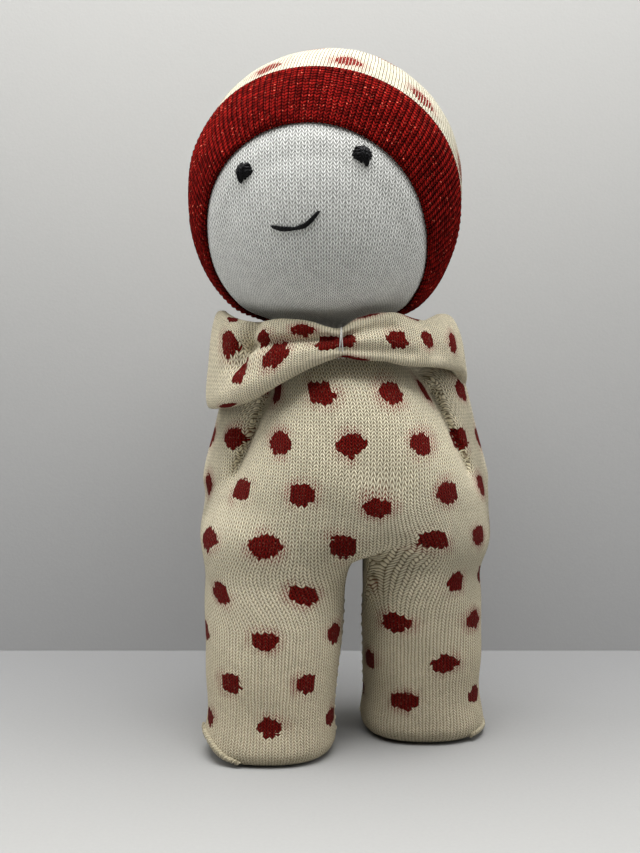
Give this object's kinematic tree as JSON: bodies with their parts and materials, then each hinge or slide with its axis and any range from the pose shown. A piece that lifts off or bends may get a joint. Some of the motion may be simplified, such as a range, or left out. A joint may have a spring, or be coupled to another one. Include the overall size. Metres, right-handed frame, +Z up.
{
  "type": "stuffed sock doll",
  "caption": "Free-standing stuffed sock doll with a ball head, pull-on hat with ribbed cuff, gathered neck scarf, sewn-in arms and two swinging legs.",
  "frame": {"origin": "on the ground under the middle of the doll's box", "axes": "+Z up from the soles to the top of the hat, front of the doll towards -Y, the doll's right side (left of a viewer in front) towards -X"},
  "size_m": [0.1061, 0.0943, 0.2403],
  "materials": {
    "dotted_knit": "cream cotton sock knit with a woven-in pattern of red dots, matt and slightly fuzzy",
    "white_knit": "white cotton sock knit with a pale grey fleck, matt",
    "red_rib": "deep red elastic ribbing with a sparkling metallic yarn",
    "black_thread": "black embroidery thread with a slight sheen",
    "cream_thread": "off-white sewing thread",
    "fibre_filling": "white polyester fibre stuffing"
  },
  "bodies": {
    "torso": {"torso_skin": "dotted_knit", "torso_filling": "fibre_filling", "left_arm_filling": "fibre_filling", "right_arm_filling": "fibre_filling", "left_arm_stitches": "cream_thread", "right_arm_stitches": "cream_thread", "neck_drawstring": "cream_thread", "scarf": "dotted_knit", "scarf_gather_thread": "cream_thread", "scarf_join_stitches": "cream_thread"},
    "left_leg": {"left_leg_skin": "dotted_knit", "left_leg_filling": "fibre_filling", "left_inseam_stitches": "cream_thread", "left_toe_seam": "cream_thread"},
    "right_leg": {"right_leg_skin": "dotted_knit", "right_leg_filling": "fibre_filling", "right_inseam_stitches": "cream_thread", "right_toe_seam": "cream_thread"},
    "neck_stub": {"neck_stub": "white_knit"},
    "neck_tie": {"neck_tie": "cream_thread"},
    "head": {"head_skin": "white_knit", "head_filling": "fibre_filling", "left_eye": "black_thread", "right_eye": "black_thread", "mouth_stitch": "black_thread"},
    "hat": {"hat_crown": "dotted_knit", "hat_cuff": "red_rib", "hat_gather_thread": "cream_thread"}
  },
  "joints": [
    {"name": "head_turn", "type": "hinge", "parent": "torso", "child": "neck_stub", "pos_m": [-0.003, -0.001, 0.1415], "axis": [0, 0, 1], "range_deg": [-45, 45], "stiffness_Nm_per_rad": 0.15},
    {"name": "head_nod", "type": "hinge", "parent": "neck_stub", "child": "neck_tie", "pos_m": [-0.003, -0.001, 0.1415], "axis": [0.9848, -0.1736, 0], "range_deg": [-7, 9], "stiffness_Nm_per_rad": 0.3},
    {"name": "head_tilt", "type": "hinge", "parent": "neck_tie", "child": "head", "pos_m": [-0.003, -0.001, 0.1415], "axis": [-0.1736, -0.9848, 0], "range_deg": [-8, 8], "stiffness_Nm_per_rad": 0.3},
    {"name": "hat_pull", "type": "slide", "parent": "head", "child": "hat", "axis": [0.1405, 0.7967, 0.5878], "range_m": [0, 0.085], "deforming": ["hat_cuff"]},
    {"name": "left_leg_swing", "type": "hinge", "parent": "torso", "child": "left_leg", "pos_m": [-0.0223, 0, 0.0585], "axis": [-1, 0, 0], "range_deg": [-28, 35], "stiffness_Nm_per_rad": 0.6},
    {"name": "right_leg_swing", "type": "hinge", "parent": "torso", "child": "right_leg", "pos_m": [0.031, 0, 0.0585], "axis": [-1, 0, 0], "range_deg": [-18, 40], "stiffness_Nm_per_rad": 0.6}
  ]
}
